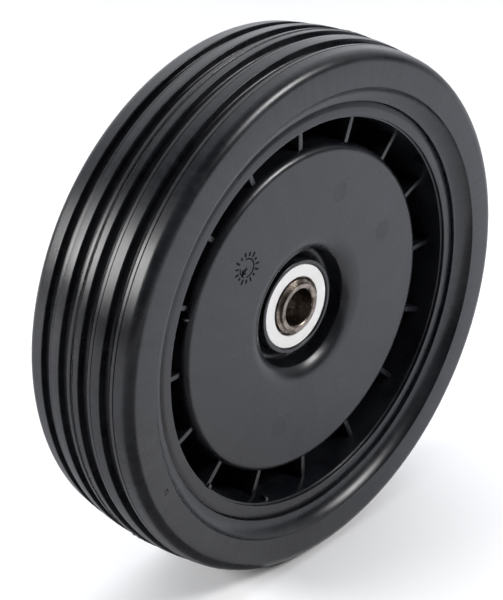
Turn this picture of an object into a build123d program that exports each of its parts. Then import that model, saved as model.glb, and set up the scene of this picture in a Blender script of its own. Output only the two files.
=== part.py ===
from build123d import *
import math
import os

# Lawn mower wheel: a ribbed solid rubber tyre on a one-piece moulded rim that
# turns on two ball bearings. Millimetres, +Z up. The origin is the wheel's
# centre, the axle lies along Y and the dished outer face looks towards -Y.
# Every section is drawn as (radius, distance along Y) and turned about Y.

# Axle and bearing, from the axle outwards: together a 15 x 35 mm bearing
axle_bore = 15.0
inner_race_wall = 3.9
ball_diameter = 4.76
race_clearance = 0.12
outer_race_wall = 1.1
race_shoulder = 1.0
bearing_width = 11.0
ball_count = 10
ring_edge = 0.5

# The inner ring's turned nose, which stands out of the hub
nose_wall = 2.9
nose_projection = 2.0
nose_cone_length = 0.9
nose_mouth_round = 0.7
nose_rim_round = 0.4
seal_land_step = 0.6
seal_land_length = 2.4

# Ball cage, a moulded ring with one round pocket for each ball
cage_wall = 2.0
cage_width = 7.4
pocket_clearance = 0.15

# White dust shield, snapped into the mouth of the outer ring
shield_thickness = 1.0
shield_gap = 0.45
shield_edge_gap = 0.2
shield_spigot_wall = 0.9
shield_spigot_length = 0.9
shield_spigot_clearance = 0.08

# Spacer tube between the two inner rings
spacer_length = 6.8
spacer_wall = 3.0

# Hub of the rim, set back from the tyre's centre plane
hub_offset = 4.8
seat_clearance = 0.05
seat_shoulder = 2.2
hub_wall = 4.0
hub_lip_wall = 1.8
hub_lip_round = 0.5
shield_recess = 0.6
moat_width = 1.3

# Dished disc and the funnel that leads down to the hub
disc_wall = 2.6
disc_edge_round = 3.2
hub_recess = 5.4
funnel_run = 11.4
funnel_drop = 8.5
back_funnel_drop = 9.6

# Channel round the disc, with its ribs
channel_width = 12.0
front_rib_count = 16
front_rib_thickness = 2.2
front_rib_setback = 2.8
web_thickness = 4.0
web_setback = 2.0

# Ribs of the open back
back_rib_count = 8
back_rib_thickness = 3.0
back_rib_hub_drop = 2.0
back_rib_rim_drop = 6.0

# Barrel of the rim
rim_radius = 84.9
lip_width = 5.9
lip_inner_round = 1.4
lip_outer_round = 0.6
barrel_draft = 1.5
well_depth = 2.6
flange_width = 3.6
disc_setback = 4.9

# Tyre
tyre_fit_gap = 0.1
tyre_height = 22.3
tyre_crown = 2.0
bead_height = 6.4
bead_depth = 5.2
bead_hollow = 1.0
shoulder_round = 6.1
shoulder_width = 4.4

# Tread, from the centre plane outwards
centre_rib_width = 6.1
middle_rib_width = 6.1
groove_width = 4.3
groove_depth = 3.4
groove_floor_round = 1.5
rib_step_width = 2.0
rib_step_depth = 0.3

# Radii that follow from the stack
bore_radius = axle_bore / 2
ball_radius = ball_diameter / 2
pitch_radius = bore_radius + inner_race_wall + race_clearance + ball_radius
groove_radius = ball_radius + race_clearance
inner_land_radius = bore_radius + inner_race_wall + race_shoulder
outer_land_radius = pitch_radius + groove_radius - race_shoulder
bearing_radius = pitch_radius + groove_radius + outer_race_wall
seal_land_radius = inner_land_radius - seal_land_step
shield_bore_radius = seal_land_radius + shield_gap
seat_radius = bearing_radius + seat_clearance
hub_radius = seat_radius + hub_wall
hub_lip_radius = seat_radius + hub_lip_wall
moat_radius = hub_lip_radius + moat_width
funnel_radius = moat_radius + funnel_run
lip_inner_radius = rim_radius - lip_width
barrel_root_radius = lip_inner_radius - barrel_draft
disc_radius = lip_inner_radius - channel_width
well_radius = rim_radius - well_depth
bead_radius = rim_radius + tyre_fit_gap
bead_lip_radius = bead_radius + bead_height
tyre_radius = bead_radius + tyre_height

# Distances from the hub's middle that follow from the stack
spacer_end = spacer_length / 2
bearing_mid = spacer_end + bearing_width / 2
bearing_end = spacer_end + bearing_width
shield_face = bearing_end + shield_thickness
nose_face = shield_face + nose_projection
hub_face = shield_face + shield_recess

# Distances from the tyre's centre plane that follow from the stack
disc_face = hub_face - hub_offset + hub_recess
disc_back = disc_face - disc_wall
moat_floor = disc_face - funnel_drop
hub_floor = disc_back - back_funnel_drop
lip_face = disc_face + disc_setback
tyre_face = lip_face + bead_depth
shoulder_edge = tyre_face - shoulder_width
web_middle = web_setback + web_thickness / 2
web_back = web_setback + web_thickness
front_rib_face = disc_face - front_rib_setback


def turned(section):
    """Turn a (radius, distance along Y) section into a solid about the axle."""
    return revolve(section, Axis.Y)


def outline(points):
    """Make a closed flat section from its corners."""
    return make_face(Polyline(*points, close=True))


def ring(inner, outer, start, end):
    """Make the section of a plain ring, or of a plain rib, between two distances along Y."""
    return outline([(inner, start), (outer, start), (outer, end), (inner, end)])


def rounded(section, corners, radius):
    """Round those corners of a section that lie at the given places."""
    found = [section.vertices().sort_by_distance(corner)[0] for corner in corners]
    return fillet(found, radius)


def around(piece, count):
    """Repeat a piece evenly about the axle."""
    return [Rot(0, turn * 360 / count, 0) * piece for turn in range(count)]


def crown_radius(distance):
    """Give the tread's radius at a distance from the centre plane."""
    return tyre_radius - tyre_crown * (distance / shoulder_edge) ** 2


def tread_groove(middle):
    """Make the section of one tread groove and of the fine step along its front edge."""
    clear = tyre_radius + groove_depth
    front = middle - groove_width / 2
    back = middle + groove_width / 2
    floor = crown_radius(middle) - groove_depth
    slot = ring(floor, clear, front, back)
    slot = rounded(slot, [(floor, front), (floor, back)], groove_floor_round)
    step_middle = front - rib_step_width / 2
    step_floor = crown_radius(step_middle) - rib_step_depth
    return slot + ring(step_floor, clear, front - rib_step_width, front)


def tyre_half():
    """Make the front half of the tyre's section, without the tread grooves."""
    slope = (shoulder_round - shoulder_width) / shoulder_round
    shoulder_radius = crown_radius(shoulder_edge)
    sidewall_end = shoulder_radius - shoulder_round * math.sqrt(1 - slope**2)
    bead_middle = (bead_radius + bead_lip_radius) / 2 + bead_hollow
    flange_back = lip_face - flange_width - tyre_fit_gap
    well_floor = well_radius + tyre_fit_gap
    crown_middle = shoulder_edge / 2
    edges = [
        ThreePointArc(
            (tyre_radius, 0),
            (crown_radius(crown_middle), -crown_middle),
            (shoulder_radius, -shoulder_edge),
        ),
        RadiusArc((shoulder_radius, -shoulder_edge), (sidewall_end, -tyre_face), shoulder_round),
        Line((sidewall_end, -tyre_face), (bead_lip_radius, -tyre_face)),
        ThreePointArc(
            (bead_lip_radius, -tyre_face),
            (bead_middle, -(tyre_face + lip_face) / 2 + bead_hollow),
            (bead_radius, -lip_face),
        ),
        Polyline(
            (bead_radius, -lip_face),
            (bead_radius, -flange_back),
            (well_floor, -flange_back),
            (well_floor, 0),
            (tyre_radius, 0),
        ),
    ]
    return make_face(edges)


def tyre():
    """Build the solid tyre: five ribs, four grooves, round shoulders and hollow beads."""
    half = tyre_half()
    section = half + mirror(half, Plane.XZ)
    inner_groove = centre_rib_width / 2 + groove_width / 2
    outer_groove = inner_groove + groove_width + middle_rib_width
    for middle in (-outer_groove, -inner_groove, inner_groove, outer_groove):
        section -= tread_groove(middle)
    return turned(section)


def barrel_section():
    """Make the section of the rim's barrel, with a lip at each end and a well for the tyre."""
    flange_back = lip_face - flange_width
    section = outline([
        (lip_inner_radius, -lip_face),
        (rim_radius, -lip_face),
        (rim_radius, -flange_back),
        (well_radius, -flange_back),
        (well_radius, flange_back),
        (rim_radius, flange_back),
        (rim_radius, lip_face),
        (lip_inner_radius, lip_face),
        (barrel_root_radius, web_back),
        (barrel_root_radius, web_setback),
    ])
    inner_corners = [(lip_inner_radius, -lip_face), (lip_inner_radius, lip_face)]
    outer_corners = [(rim_radius, -lip_face), (rim_radius, lip_face)]
    section = rounded(section, inner_corners, lip_inner_round)
    return rounded(section, outer_corners, lip_outer_round)


def bend_radius(run, drop):
    """Give the radius of a bend that leaves a flat face and drops by so much over a run."""
    return (run**2 + drop**2) / (2 * drop)


def disc_section():
    """Make the section of the disc: its skirt, round edge, flat face and funnel."""
    skirt_inner = disc_radius - disc_wall
    edge_middle = disc_radius - disc_edge_round
    front_bend = bend_radius(funnel_run, funnel_drop)
    back_bend = bend_radius(funnel_radius - hub_radius, back_funnel_drop)
    edges = [
        Line((disc_radius, web_middle), (disc_radius, -disc_face + disc_edge_round)),
        RadiusArc(
            (disc_radius, -disc_face + disc_edge_round), (edge_middle, -disc_face), disc_edge_round
        ),
        Line((edge_middle, -disc_face), (funnel_radius, -disc_face)),
        RadiusArc((funnel_radius, -disc_face), (moat_radius, -moat_floor), front_bend),
        Polyline(
            (moat_radius, -moat_floor),
            (hub_lip_radius, -moat_floor),
            (hub_lip_radius, -hub_floor),
            (hub_radius, -hub_floor),
        ),
        RadiusArc((hub_radius, -hub_floor), (funnel_radius, -disc_back), -back_bend),
        Polyline(
            (funnel_radius, -disc_back),
            (skirt_inner, -disc_back),
            (skirt_inner, web_middle),
            (disc_radius, web_middle),
        ),
    ]
    return make_face(edges)


def hub_section():
    """Make the section of the hub: a tube with a bearing seat in each end."""
    land_radius = seat_radius - seat_shoulder
    hub_front = hub_offset - hub_face
    hub_back = hub_offset + hub_face
    section = outline([
        (seat_radius, hub_front),
        (hub_lip_radius, hub_front),
        (hub_lip_radius, -moat_floor),
        (hub_radius, -moat_floor),
        (hub_radius, hub_back),
        (seat_radius, hub_back),
        (seat_radius, hub_offset + spacer_end),
        (land_radius, hub_offset + spacer_end),
        (land_radius, hub_offset - spacer_end),
        (seat_radius, hub_offset - spacer_end),
    ])
    lip_corners = [
        (seat_radius, hub_front),
        (hub_lip_radius, hub_front),
        (hub_radius, hub_back),
        (seat_radius, hub_back),
    ]
    return rounded(section, lip_corners, hub_lip_round)


def rib(section, thickness):
    """Make one radial rib from its section in the plane of the axle and the radius."""
    return extrude(section, thickness / 2, both=True)


def front_rib():
    """Make one rib of the front channel, from the disc's edge to the barrel."""
    skirt_middle = disc_radius - disc_wall / 2
    wall_middle = (lip_inner_radius + well_radius) / 2
    section = ring(skirt_middle, wall_middle, -front_rib_face, web_middle)
    return rib(section, front_rib_thickness)


def back_rib():
    """Make one rib of the open back, from the hub along the disc to the barrel."""
    skirt_middle = disc_radius - disc_wall / 2
    wall_middle = (lip_inner_radius + well_radius) / 2
    disc_middle = disc_face - disc_wall / 2
    hub_middle = (hub_radius + seat_radius) / 2
    bend_run = funnel_radius - hub_radius
    bend_drop = (funnel_drop + back_funnel_drop) / 2
    bend = bend_radius(bend_run, bend_drop)
    bend_end = -disc_middle + bend_drop
    edges = [
        Polyline(
            (hub_radius, bend_end),
            (hub_middle, bend_end),
            (hub_middle, hub_offset + hub_face - back_rib_hub_drop),
            (wall_middle, lip_face - back_rib_rim_drop),
            (wall_middle, web_middle),
            (skirt_middle, web_middle),
            (skirt_middle, -disc_face + disc_edge_round),
            (disc_radius - disc_edge_round, -disc_middle),
            (funnel_radius, -disc_middle),
        ),
        RadiusArc((funnel_radius, -disc_middle), (hub_radius, bend_end), bend),
    ]
    return rib(make_face(edges), back_rib_thickness)


def rim():
    """Build the moulded rim: barrel, web, dished disc, hub and both sets of ribs."""
    skirt_inner = disc_radius - disc_wall
    web = ring(skirt_inner, well_radius - well_depth, web_setback, web_back)
    body = turned(barrel_section())
    body += turned(web)
    body += turned(disc_section())
    body += turned(hub_section())
    body += around(front_rib(), front_rib_count)
    body += around(back_rib(), back_rib_count)
    return body


def race_groove():
    """Make the round groove that the balls run in."""
    section = Pos(pitch_radius, -bearing_mid) * Circle(groove_radius)
    return turned(section)


def inner_ring():
    """Build the turned inner ring, with its raceway, seal land and standing nose."""
    nose_radius = bore_radius + nose_wall
    land_end = shield_face - seal_land_length
    section = outline([
        (bore_radius, -nose_face),
        (nose_radius, -nose_face),
        (nose_radius, -shield_face - nose_cone_length),
        (seal_land_radius, -shield_face),
        (seal_land_radius, -land_end),
        (inner_land_radius, -land_end),
        (inner_land_radius, -spacer_end),
        (bore_radius, -spacer_end),
    ])
    section = rounded(section, [(bore_radius, -nose_face)], nose_mouth_round)
    section = rounded(section, [(nose_radius, -nose_face)], nose_rim_round)
    return turned(section) - race_groove()


def outer_ring():
    """Build the outer ring, with its raceway and rounded outer edges."""
    section = ring(outer_land_radius, bearing_radius, -bearing_end, -spacer_end)
    corners = [(bearing_radius, -bearing_end), (bearing_radius, -spacer_end)]
    return turned(rounded(section, corners, ring_edge)) - race_groove()


def balls():
    """Build the set of separate balls, evenly spaced on the pitch circle."""
    ball = Pos(pitch_radius, -bearing_mid, 0) * Sphere(ball_radius)
    return around(ball, ball_count)


def cage():
    """Build the cage that keeps the balls apart."""
    section = ring(
        pitch_radius - cage_wall / 2,
        pitch_radius + cage_wall / 2,
        -bearing_mid - cage_width / 2,
        -bearing_mid + cage_width / 2,
    )
    pocket = Cylinder(ball_radius + pocket_clearance, 2 * cage_wall)
    pocket = Pos(pitch_radius, -bearing_mid, 0) * Rot(0, 90, 0) * pocket
    return turned(section) - around(pocket, ball_count)


def dust_shield():
    """Build the flat white shield, with the spigot that snaps into the outer ring."""
    spigot_outer = outer_land_radius - shield_spigot_clearance
    spigot_end = bearing_end - shield_spigot_length
    section = outline([
        (shield_bore_radius, -shield_face),
        (bearing_radius - shield_edge_gap, -shield_face),
        (bearing_radius - shield_edge_gap, -bearing_end),
        (spigot_outer, -bearing_end),
        (spigot_outer, -spigot_end),
        (spigot_outer - shield_spigot_wall, -spigot_end),
        (spigot_outer - shield_spigot_wall, -bearing_end),
        (shield_bore_radius, -bearing_end),
    ])
    return turned(section)


def spacer_tube():
    """Build the tube that holds the two inner rings apart on the axle."""
    return turned(ring(bore_radius, bore_radius + spacer_wall, -spacer_end, spacer_end))


def bearing(place):
    """Build one bearing and its shield at a place on the axle."""
    return {
        "inner_ring": place * inner_ring(),
        "outer_ring": place * outer_ring(),
        "balls": Compound(children=[place * ball for ball in balls()]),
        "ball_cage": place * cage(),
        "dust_shield": place * dust_shield(),
    }


def nodes():
    """Gather every piece of the wheel under its node's name."""
    front = Pos(0, hub_offset, 0)
    rear = front * Rot(0, 0, 180)
    pieces = {"tyre": tyre(), "rim": rim(), "spacer_tube": front * spacer_tube()}
    for name, piece in bearing(front).items():
        pieces["front_" + name] = piece
    for name, piece in bearing(rear).items():
        pieces["rear_" + name] = piece
    return pieces


os.makedirs("parts", exist_ok=True)
for name, piece in nodes().items():
    export_step(piece, os.path.join("parts", name + ".step"))
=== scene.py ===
"""Looks of a lawn mower wheel: ribbed rubber tyre, dished moulded rim and ball bearings.

Lengths are in millimetres unless a name says otherwise, and meshes are made in metres.
Every turned piece is drawn as a closed outline of (radius, distance along Y) and swept about Y.
The dished outer face looks towards -Y.
"""

import logging
import math
from dataclasses import dataclass, field
from enum import Enum
from typing import Any, Callable, Optional, Sequence

import bmesh
import bpy
from mathutils import Matrix, Vector, noise

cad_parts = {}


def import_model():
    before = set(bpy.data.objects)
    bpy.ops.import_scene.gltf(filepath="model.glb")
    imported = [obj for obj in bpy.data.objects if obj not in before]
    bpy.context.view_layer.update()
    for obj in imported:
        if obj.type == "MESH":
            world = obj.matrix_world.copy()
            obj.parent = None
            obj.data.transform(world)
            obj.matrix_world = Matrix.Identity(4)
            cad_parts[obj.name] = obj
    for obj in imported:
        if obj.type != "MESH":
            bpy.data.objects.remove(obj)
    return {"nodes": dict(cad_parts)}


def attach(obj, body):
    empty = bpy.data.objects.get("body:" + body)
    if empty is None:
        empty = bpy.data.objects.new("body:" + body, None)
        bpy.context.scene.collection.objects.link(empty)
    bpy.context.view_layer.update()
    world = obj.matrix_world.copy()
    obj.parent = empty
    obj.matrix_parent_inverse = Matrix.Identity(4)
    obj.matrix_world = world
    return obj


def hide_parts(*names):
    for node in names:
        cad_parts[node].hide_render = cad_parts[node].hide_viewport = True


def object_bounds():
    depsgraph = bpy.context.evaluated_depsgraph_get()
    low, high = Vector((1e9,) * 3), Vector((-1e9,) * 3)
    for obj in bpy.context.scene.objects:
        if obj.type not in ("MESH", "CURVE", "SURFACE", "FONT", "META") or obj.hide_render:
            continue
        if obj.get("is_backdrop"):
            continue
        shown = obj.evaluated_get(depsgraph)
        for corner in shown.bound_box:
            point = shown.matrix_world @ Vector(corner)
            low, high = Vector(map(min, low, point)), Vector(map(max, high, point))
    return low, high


LOG = logging.getLogger("wheel")
MM = 0.001
FULL_TURN = 2 * math.pi
PHOTO_WIDTH = 503
PHOTO_HEIGHT = 600
CREASE = math.radians(32)

Point = tuple[float, float]
Corner = tuple[float, float, float]
Socket = bpy.types.NodeSocket

# Spans that most values of a cloudy pattern lie in, of the middle of one, and of two added up
CLOUD: Point = (0.3, 0.7)
CLOUD_MIDDLE: Point = (0.4, 0.6)
TWO_CLOUDS: Point = (0.75, 1.25)

# Spans that values are mapped to, rising and falling, and the span of a wave
RISING: Point = (0.0, 1.0)
FALLING: Point = (1.0, 0.0)
WAVE: Point = (-1.0, 1.0)

# Settings of nodes: a mapping that eases in and out at its ends, a mix of colours, and sums
EASED = {"interpolation_type": "SMOOTHSTEP"}
COLOURS = {"data_type": "RGBA"}
PLUS = {"operation": "ADD"}
MINUS = {"operation": "SUBTRACT"}
TIMES = {"operation": "MULTIPLY"}
LARGER = {"operation": "MAXIMUM"}
SINE = {"operation": "SINE"}
ANGLE = {"operation": "ARCTAN2"}
LENGTH = {"operation": "LENGTH"}
DISTANCE = {"operation": "DISTANCE"}
DOT_PRODUCT = {"operation": "DOT_PRODUCT"}

# Numbers of a mix of colours: its share, its two colours and what comes out
SHARE, FIRST, SECOND, MIXED = 0, 6, 7, 2


class Body(Enum):
    """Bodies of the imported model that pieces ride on."""

    SLEEVE = "axle_sleeve"
    WHEEL = "wheel"


class Slot(Enum):
    """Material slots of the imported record."""

    TYRE = "tyre_rubber"
    RIM = "rim_plastic"
    STEEL = "bearing_steel"
    SHIELD = "shield_plastic"


class End(Enum):
    """The wheel's two ends, by the way along Y that each one faces."""

    FRONT = -1
    REAR = 1


# Shader helpers


def linear(code: str) -> tuple[float, float, float, float]:
    """Turn an sRGB hex colour into linear light.

    Args:
        code: Colour such as "#2c2c2e".

    Returns:
        Linear red, green and blue, and an alpha of one.
    """
    shares = [int(code[place:place + 2], 16) / 255 for place in (1, 3, 5)]
    parts = [v / 12.92 if v <= 0.04045 else ((v + 0.055) / 1.055) ** 2.4 for v in shares]
    return parts[0], parts[1], parts[2], 1.0


def scale_of(size: float) -> float:
    """Turn the size of a pattern's lumps in millimetres into its scale."""
    return 1 / (size * MM)


def add_node(
    tree: bpy.types.NodeTree,
    kind: str,
    settings: Optional[dict[str, Any]] = None,
    inputs: Any = (),
    output: Any = 0,
) -> Socket:
    """Add one node with its settings, input values and links.

    Args:
        tree: Node tree that takes the node.
        kind: Blender's name of the node type.
        settings: Properties of the node.
        inputs: Values or linked sockets, in the inputs' order or by their names or numbers.
        output: Name or number of the output that is wanted.

    Returns:
        That output of the new node.
    """
    node = tree.nodes.new(kind)
    for name, value in (settings or {}).items():
        setattr(node, name, value)
    for place, value in inputs.items() if isinstance(inputs, dict) else enumerate(inputs):
        if isinstance(value, Socket):
            tree.links.new(value, node.inputs[place])
        else:
            node.inputs[place].default_value = value
    return node.outputs[output]


class Shading:
    """A material under construction, with its shader and the wheel's own coordinates."""

    def __init__(self, name: str) -> None:
        """Start an empty material.

        Args:
            name: The material's name.
        """
        self.material = bpy.data.materials.new(name)
        self.material.use_nodes = True
        self.tree = self.material.node_tree
        self.shader = self.tree.nodes["Principled BSDF"]
        self.place = self.add("ShaderNodeTexCoord", output="Object")
        parts = self.add("ShaderNodeSeparateXYZ", None, (self.place,)).node.outputs
        self.along = parts["Y"]
        across = self.add("ShaderNodeCombineXYZ", None, (parts["X"], parts["Z"]))
        self.radius = self.add("ShaderNodeVectorMath", LENGTH, (across,), "Value")
        self.angle = self.add("ShaderNodeMath", ANGLE, (parts["Z"], parts["X"]))

    def add(self, kind: str, settings: Any = None, inputs: Any = (), output: Any = 0) -> Socket:
        """Add one node to this material, as add_node does."""
        return add_node(self.tree, kind, settings, inputs, output)

    def polar(self, around: float, across: float) -> Socket:
        """Give coordinates for marks that run along circles or spokes.

        Args:
            around: Stretch of the coordinate that runs round the axle, in metres each radian.
            across: Stretch of the radius.

        Returns:
            Coordinates of angle, radius and distance along the axle.
        """
        turn = self.add("ShaderNodeMath", TIMES, (self.angle, around))
        reach = self.add("ShaderNodeMath", TIMES, (self.radius, across))
        return self.add("ShaderNodeCombineXYZ", None, (turn, reach, self.along))

    def spot(self, centre: Point, radius: float, edge: float) -> Socket:
        """Mark a round spot on the wheel's face.

        Args:
            centre: X and Z of its middle, in millimetres.
            radius: Its radius in millimetres.
            edge: Width of its soft edge in millimetres.

        Returns:
            One inside the spot and nought outside.
        """
        middle = (centre[0] * MM, 0.0, centre[1] * MM)
        flat = self.add("ShaderNodeVectorMath", TIMES, (self.place, (1.0, 0.0, 1.0)))
        gap = self.add("ShaderNodeVectorMath", DISTANCE, (flat, middle), "Value")
        span = ((radius - edge) * MM, (radius + edge) * MM)
        return self.add("ShaderNodeMapRange", EASED, (gap, *span, *FALLING))

    def finish(self, **sockets: Any) -> bpy.types.Material:
        """Set or link the shader's sockets.

        Args:
            sockets: Value or linked socket for each shader input, with spaces as underscores.

        Returns:
            The finished material.
        """
        for name, value in sockets.items():
            socket = self.shader.inputs[name.replace("_", " ")]
            if isinstance(value, Socket):
                self.tree.links.new(value, socket)
            else:
                socket.default_value = value
        return self.material


# Finishes


@dataclass(frozen=True)
class MouldedRubber:
    """Carbon-black rubber, compression moulded.

    It is almost black by itself, and its grey comes from a broad dull shine. Close to, the skin
    has a fine grain, faint streaks that run out along the sidewall and cloudy patches of bloom.
    """

    name: str = "moulded_black_rubber"
    colour: str = "#0c0d11"
    bloom: str = "#1a1b1f"
    # The skin's real grain is about 0.1 mm, too fine to show, so it is drawn coarser.
    grain: float = 0.5
    grain_depth: float = 0.018
    streak_width: float = 2.6
    streak_stretch: Point = (0.1, 0.08)
    patch: float = 24.0
    ior: float = 1.52
    shine: float = 0.45
    roughness: Point = (0.25, 0.34)
    nick_colour: str = "#050506"
    nick_centre: Point = (-88.8, -34.5)
    nick_radius: float = 1.1
    nick_depth: float = 0.35
    nick_tear: float = 1.0
    nick_share: Point = (0.2, 1.0)
    nick_side_m: Point = (-0.0255, -0.0245)

    def material(self) -> bpy.types.Material:
        """Build the material.

        Returns:
            The finished material.
        """
        skin = Shading(self.name)
        patches = skin.add("ShaderNodeTexNoise", None, {
            "Vector": skin.place, "Scale": scale_of(self.patch), "Detail": 4.0
        })
        streaks = skin.add("ShaderNodeTexNoise", None, {
            "Vector": skin.polar(*self.streak_stretch),
            "Scale": scale_of(self.streak_width),
            "Detail": 2.0,
        })
        both = skin.add("ShaderNodeMath", PLUS, (patches, streaks))
        tone = skin.add("ShaderNodeMapRange", EASED, (both, *TWO_CLOUDS, *RISING))
        dull = skin.add("ShaderNodeMapRange", EASED, (patches, *CLOUD, *self.roughness))
        grain = skin.add("ShaderNodeTexNoise", None, {
            "Vector": skin.place, "Scale": scale_of(self.grain), "Detail": 2.0
        })
        grained = skin.add("ShaderNodeBump", None, {
            "Height": grain, "Distance": self.grain_depth * MM, "Strength": 1.0
        })
        nick = skin.spot(self.nick_centre, self.nick_radius, self.nick_radius / 2)
        tear = skin.add("ShaderNodeTexNoise", None, {
            "Vector": skin.place, "Scale": scale_of(self.nick_tear), "Detail": 3.0
        })
        ragged = skin.add("ShaderNodeMapRange", EASED, (tear, *CLOUD_MIDDLE, *self.nick_share))
        front = skin.add("ShaderNodeMapRange", EASED, (skin.along, *self.nick_side_m, *FALLING))
        torn = skin.add("ShaderNodeMath", TIMES, (nick, ragged))
        torn = skin.add("ShaderNodeMath", TIMES, (torn, front))
        unhurt = skin.add("ShaderNodeMath", MINUS, (1.0, torn))
        relief = skin.add("ShaderNodeBump", None, {
            "Height": unhurt, "Distance": self.nick_depth * MM, "Strength": 1.0, "Normal": grained
        })
        bloomed = skin.add("ShaderNodeMix", COLOURS, {
            SHARE: tone, FIRST: linear(self.colour), SECOND: linear(self.bloom)
        }, MIXED)
        colour = skin.add("ShaderNodeMix", COLOURS, {
            SHARE: torn, FIRST: bloomed, SECOND: linear(self.nick_colour)
        }, MIXED)
        return skin.finish(
            Base_Color=colour,
            Roughness=dull,
            IOR=self.ior,
            Specular_IOR_Level=self.shine,
            Normal=relief,
        )


@dataclass(frozen=True)
class TornRubber:
    """Rubber flash left where the tyre's mould halves met, trimmed and torn.

    The trimmed edge is rougher and blacker than the moulded skin, with small bright tears.
    """

    name: str = "torn_rubber_flash"
    colour: str = "#0c0c0d"
    tear: str = "#3a3a3c"
    grit: float = 0.7
    grit_depth: float = 0.12
    tear_span: Point = (0.52, 0.72)
    ior: float = 1.52
    roughness: Point = (0.5, 0.75)

    def material(self) -> bpy.types.Material:
        """Build the material.

        Returns:
            The finished material.
        """
        skin = Shading(self.name)
        grit = skin.add("ShaderNodeTexNoise", None, {
            "Vector": skin.place, "Scale": scale_of(self.grit), "Detail": 3.0
        })
        tone = skin.add("ShaderNodeMapRange", EASED, (grit, *self.tear_span, *RISING))
        dull = skin.add("ShaderNodeMapRange", EASED, (grit, *CLOUD, *self.roughness))
        relief = skin.add("ShaderNodeBump", None, {
            "Height": grit, "Distance": self.grit_depth * MM, "Strength": 1.0
        })
        colour = skin.add("ShaderNodeMix", COLOURS, {
            SHARE: tone, FIRST: linear(self.colour), SECOND: linear(self.tear)
        }, MIXED)
        return skin.finish(Base_Color=colour, Roughness=dull, IOR=self.ior, Normal=relief)


@dataclass(frozen=True)
class MouldedPolypropylene:
    """Black polypropylene, injection moulded against a lightly etched mould.

    The etched skin gives a soft satin shine with a fine even grain. Where the ejector pins
    pushed, round spots are a little duller, and faint flow clouds run out from the hub.
    """

    name: str = "moulded_black_polypropylene"
    colour: str = "#0c0d11"
    cloud: str = "#16171b"
    # The etching is about 0.05 mm, too fine to show, so it is drawn coarser.
    grain: float = 0.45
    grain_depth: float = 0.016
    cloud_size: float = 16.0
    flow_width: float = 7.0
    flow_stretch: Point = (0.05, 0.3)
    ior: float = 1.49
    shine: float = 0.53
    roughness: Point = (0.25, 0.33)
    pin_centres: tuple[Point, ...] = ((18.4, 44.5), (44.5, 18.4), (-18.4, -44.5))
    pin_radius: float = 4.2
    pin_edge: float = 0.35
    pin_depth: float = 0.05
    pin_dullness: float = 0.12

    def material(self) -> bpy.types.Material:
        """Build the material.

        Returns:
            The finished material.
        """
        skin = Shading(self.name)
        clouds = skin.add("ShaderNodeTexNoise", None, {
            "Vector": skin.place, "Scale": scale_of(self.cloud_size), "Detail": 4.0
        })
        flow = skin.add("ShaderNodeTexNoise", None, {
            "Vector": skin.polar(*self.flow_stretch),
            "Scale": scale_of(self.flow_width),
            "Detail": 2.0,
        })
        both = skin.add("ShaderNodeMath", PLUS, (clouds, flow))
        tone = skin.add("ShaderNodeMapRange", EASED, (both, *TWO_CLOUDS, *RISING))
        pins = skin.spot(self.pin_centres[0], self.pin_radius, self.pin_edge)
        for centre in self.pin_centres[1:]:
            pin = skin.spot(centre, self.pin_radius, self.pin_edge)
            pins = skin.add("ShaderNodeMath", LARGER, (pins, pin))
        satin = skin.add("ShaderNodeMapRange", EASED, (clouds, *CLOUD, *self.roughness))
        duller = skin.add("ShaderNodeMath", TIMES, (pins, self.pin_dullness))
        dull = skin.add("ShaderNodeMath", PLUS, (satin, duller))
        grain = skin.add("ShaderNodeTexNoise", None, {
            "Vector": skin.place, "Scale": scale_of(self.grain), "Detail": 2.0
        })
        etched = skin.add("ShaderNodeBump", None, {
            "Height": grain, "Distance": self.grain_depth * MM, "Strength": 1.0
        })
        unpushed = skin.add("ShaderNodeMath", MINUS, (1.0, pins))
        relief = skin.add("ShaderNodeBump", None, {
            "Height": unpushed, "Distance": self.pin_depth * MM, "Strength": 1.0, "Normal": etched
        })
        colour = skin.add("ShaderNodeMix", COLOURS, {
            SHARE: tone, FIRST: linear(self.colour), SECOND: linear(self.cloud)
        }, MIXED)
        return skin.finish(
            Base_Color=colour,
            Roughness=dull,
            IOR=self.ior,
            Specular_IOR_Level=self.shine,
            Normal=relief,
        )


@dataclass(frozen=True)
class EngravedMark:
    """The mould's date dial, cut by hand tools into the mould face.

    Its fine strokes are rough, near black and weakly shiny, so that they stay dark against the
    satin skin round them: painted shade of the dial's cut strokes.
    """

    name: str = "dial_strokes_painted_shade"
    # Near black: painted shade of the cut strokes.
    colour: str = "#070708"
    worn: str = "#141415"
    wear_size: float = 0.8
    wear_depth: float = 0.03
    # Below polypropylene's 1.49, so that the strokes give back little light.
    # With their near-black colour, this is painted shade of the cut strokes.
    ior: float = 1.3
    roughness: float = 0.85

    def material(self) -> bpy.types.Material:
        """Build the material.

        Returns:
            The finished material.
        """
        skin = Shading(self.name)
        rubs = skin.add("ShaderNodeTexNoise", None, {
            "Vector": skin.place, "Scale": scale_of(self.wear_size), "Detail": 2.0
        })
        wear = skin.add("ShaderNodeMapRange", EASED, (rubs, *CLOUD_MIDDLE, *RISING))
        relief = skin.add("ShaderNodeBump", None, {
            "Height": wear, "Distance": self.wear_depth * MM, "Strength": 1.0
        })
        colour = skin.add("ShaderNodeMix", COLOURS, {
            SHARE: wear, FIRST: linear(self.colour), SECOND: linear(self.worn)
        }, MIXED)
        return skin.finish(
            Base_Color=colour, Roughness=self.roughness, IOR=self.ior, Normal=relief
        )


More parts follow.
